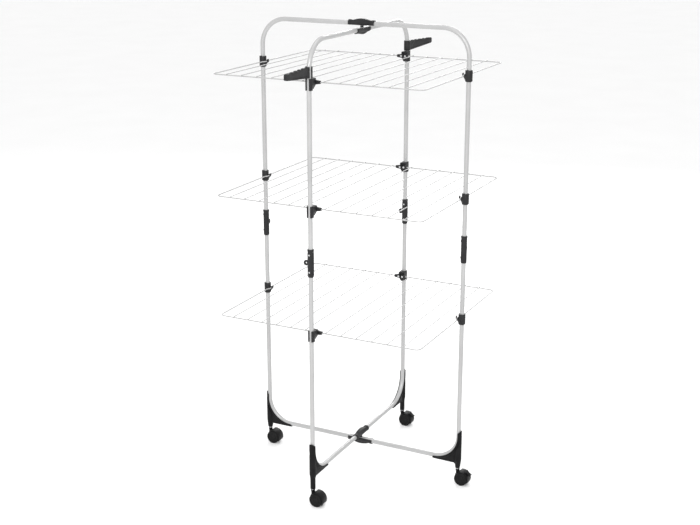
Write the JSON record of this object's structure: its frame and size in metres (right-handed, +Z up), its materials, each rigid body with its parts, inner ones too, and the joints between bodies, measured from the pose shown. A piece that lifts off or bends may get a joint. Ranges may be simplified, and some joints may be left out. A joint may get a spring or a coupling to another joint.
{
  "type": "clothes drying rack",
  "caption": "Tall folding clothes airer: crossed tube loops on a central pivot, tiers of wire half-shelves, notched hanger arms and twin-wheel casters.",
  "frame": {"origin": "on the floor, under the vertical pivot of the two loops", "axes": "+Z up; the outer loop's legs stand on the X axis and the inner loop's legs on the Y axis; the shelves' wires run along Y"},
  "size_m": [0.8572, 1.0942, 1.6645],
  "materials": {
    "tube": "satin light grey powder coat",
    "wire": "white plastic-dipped coat",
    "plastic": "fine-textured charcoal moulding",
    "caster": "black nylon moulding",
    "wheel": "black nylon moulding, slightly worn tread",
    "black_steel": "black coated",
    "zinc": "zinc plated"
  },
  "bodies": {
    "inner_frame": {"inner_upper_tube": "tube", "inner_lower_tube": "tube", "coupling_front": "plastic", "coupling_back": "plastic", "inner_coupling_screws": "zinc", "inner_top_saddle": "plastic", "inner_bottom_saddle": "plastic", "pivot_studs": "black_steel", "foot_front": "plastic", "foot_back": "plastic", "pivot_clips_low": "plastic", "pivot_clips_mid": "plastic", "pivot_clips_top": "plastic", "shelf_pivot_pins": "zinc", "inner_caster_stems": "zinc"},
    "outer_frame": {"outer_upper_tube": "tube", "outer_lower_tube": "tube", "coupling_left": "plastic", "coupling_right": "plastic", "outer_coupling_screws": "zinc", "outer_top_saddle": "plastic", "outer_bottom_saddle": "plastic", "foot_left": "plastic", "foot_right": "plastic", "hook_clips_low": "plastic", "hook_clips_mid": "plastic", "hook_clips_top": "plastic", "outer_caster_stems": "zinc"},
    "half_shelf_low_left": {"shelf_low_left": "wire", "sockets_low_left": "plastic"},
    "half_shelf_low_right": {"shelf_low_right": "wire", "sockets_low_right": "plastic"},
    "half_shelf_mid_left": {"shelf_mid_left": "wire", "sockets_mid_left": "plastic"},
    "half_shelf_mid_right": {"shelf_mid_right": "wire", "sockets_mid_right": "plastic"},
    "half_shelf_top_left": {"shelf_top_left": "wire", "sockets_top_left": "plastic"},
    "half_shelf_top_right": {"shelf_top_right": "wire", "sockets_top_right": "plastic"},
    "arm_front": {"hanger_arm_front": "plastic"},
    "arm_back": {"hanger_arm_back": "plastic"},
    "caster_left": {"caster_hood_left": "caster", "caster_axle_left": "zinc"},
    "wheel_left_a": {"wheel_left_a": "wheel"},
    "wheel_left_b": {"wheel_left_b": "wheel"},
    "caster_right": {"caster_hood_right": "caster", "caster_axle_right": "zinc"},
    "wheel_right_a": {"wheel_right_a": "wheel"},
    "wheel_right_b": {"wheel_right_b": "wheel"},
    "caster_front": {"caster_hood_front": "caster", "caster_axle_front": "zinc"},
    "wheel_front_a": {"wheel_front_a": "wheel"},
    "wheel_front_b": {"wheel_front_b": "wheel"},
    "caster_back": {"caster_hood_back": "caster", "caster_axle_back": "zinc"},
    "wheel_back_a": {"wheel_back_a": "wheel"},
    "wheel_back_b": {"wheel_back_b": "wheel"},
    "brake_right": {"brake_lever_right": "caster"},
    "brake_back": {"brake_lever_back": "caster"}
  },
  "joints": [
    {"name": "frame_fold", "type": "hinge", "parent": "inner_frame", "child": "outer_frame", "pos_m": [0, 0, 0.9], "axis": [0, 0, 1], "range_deg": [0, 75]},
    {"name": "low_left_shelf_drop", "type": "hinge", "parent": "inner_frame", "child": "half_shelf_low_left", "pos_m": [-0.008, 0, 0.64], "axis": [0, -1, 0], "range_deg": [0, 90]},
    {"name": "low_right_shelf_drop", "type": "hinge", "parent": "inner_frame", "child": "half_shelf_low_right", "pos_m": [0.008, 0, 0.64], "axis": [0, 1, 0], "range_deg": [0, 90]},
    {"name": "mid_left_shelf_drop", "type": "hinge", "parent": "inner_frame", "child": "half_shelf_mid_left", "pos_m": [-0.008, 0, 1.076], "axis": [0, -1, 0], "range_deg": [0, 90]},
    {"name": "mid_right_shelf_drop", "type": "hinge", "parent": "inner_frame", "child": "half_shelf_mid_right", "pos_m": [0.008, 0, 1.076], "axis": [0, 1, 0], "range_deg": [0, 90]},
    {"name": "top_left_shelf_drop", "type": "hinge", "parent": "inner_frame", "child": "half_shelf_top_left", "pos_m": [-0.008, 0, 1.496], "axis": [0, -1, 0], "range_deg": [0, 90]},
    {"name": "top_right_shelf_drop", "type": "hinge", "parent": "inner_frame", "child": "half_shelf_top_right", "pos_m": [0.008, 0, 1.496], "axis": [0, 1, 0], "range_deg": [0, 90]},
    {"name": "front_arm_swing", "type": "hinge", "parent": "inner_frame", "child": "arm_front", "pos_m": [0, -0.3805, 1.531], "axis": [0, 0, 1], "range_deg": [-60, 60]},
    {"name": "back_arm_swing", "type": "hinge", "parent": "inner_frame", "child": "arm_back", "pos_m": [0, 0.3805, 1.531], "axis": [0, 0, 1], "range_deg": [-60, 60]},
    {"name": "left_caster_swivel", "type": "hinge", "parent": "outer_frame", "child": "caster_left", "pos_m": [-0.396, 0, 0.05], "axis": [0, 0, 1], "continuous": true},
    {"name": "left_wheel_a_roll", "type": "hinge", "parent": "caster_left", "child": "wheel_left_a", "pos_m": [-0.378, 0, 0.025], "axis": [0, 1, 0], "continuous": true},
    {"name": "left_wheel_b_roll", "type": "hinge", "parent": "caster_left", "child": "wheel_left_b", "pos_m": [-0.378, 0, 0.025], "axis": [0, 1, 0], "continuous": true},
    {"name": "right_caster_swivel", "type": "hinge", "parent": "outer_frame", "child": "caster_right", "pos_m": [0.396, 0, 0.05], "axis": [0, 0, 1], "continuous": true},
    {"name": "right_wheel_a_roll", "type": "hinge", "parent": "caster_right", "child": "wheel_right_a", "pos_m": [0.414, 0, 0.025], "axis": [0, 1, 0], "continuous": true},
    {"name": "right_wheel_b_roll", "type": "hinge", "parent": "caster_right", "child": "wheel_right_b", "pos_m": [0.414, 0, 0.025], "axis": [0, 1, 0], "continuous": true},
    {"name": "front_caster_swivel", "type": "hinge", "parent": "inner_frame", "child": "caster_front", "pos_m": [0, -0.3805, 0.05], "axis": [0, 0, 1], "continuous": true},
    {"name": "front_wheel_a_roll", "type": "hinge", "parent": "caster_front", "child": "wheel_front_a", "pos_m": [0.018, -0.3805, 0.025], "axis": [0, 1, 0], "continuous": true},
    {"name": "front_wheel_b_roll", "type": "hinge", "parent": "caster_front", "child": "wheel_front_b", "pos_m": [0.018, -0.3805, 0.025], "axis": [0, 1, 0], "continuous": true},
    {"name": "back_caster_swivel", "type": "hinge", "parent": "inner_frame", "child": "caster_back", "pos_m": [0, 0.3805, 0.05], "axis": [0, 0, 1], "continuous": true},
    {"name": "back_wheel_a_roll", "type": "hinge", "parent": "caster_back", "child": "wheel_back_a", "pos_m": [0.018, 0.3805, 0.025], "axis": [0, 1, 0], "continuous": true},
    {"name": "back_wheel_b_roll", "type": "hinge", "parent": "caster_back", "child": "wheel_back_b", "pos_m": [0.018, 0.3805, 0.025], "axis": [0, 1, 0], "continuous": true},
    {"name": "right_brake_press", "type": "hinge", "parent": "caster_right", "child": "brake_right", "pos_m": [0.43, 0, 0.05271], "axis": [0, 1, 0], "range_deg": [0, 6]},
    {"name": "back_brake_press", "type": "hinge", "parent": "caster_back", "child": "brake_back", "pos_m": [0.034, 0.3805, 0.05271], "axis": [0, 1, 0], "range_deg": [0, 6]}
  ],
  "couplings": [
    {"joint": "low_left_shelf_drop", "follows": "frame_fold", "ratio": 1.2},
    {"joint": "low_right_shelf_drop", "follows": "frame_fold", "ratio": 1.2},
    {"joint": "mid_left_shelf_drop", "follows": "frame_fold", "ratio": 1.2},
    {"joint": "mid_right_shelf_drop", "follows": "frame_fold", "ratio": 1.2},
    {"joint": "top_left_shelf_drop", "follows": "frame_fold", "ratio": 1.2},
    {"joint": "top_right_shelf_drop", "follows": "frame_fold", "ratio": 1.2}
  ]
}
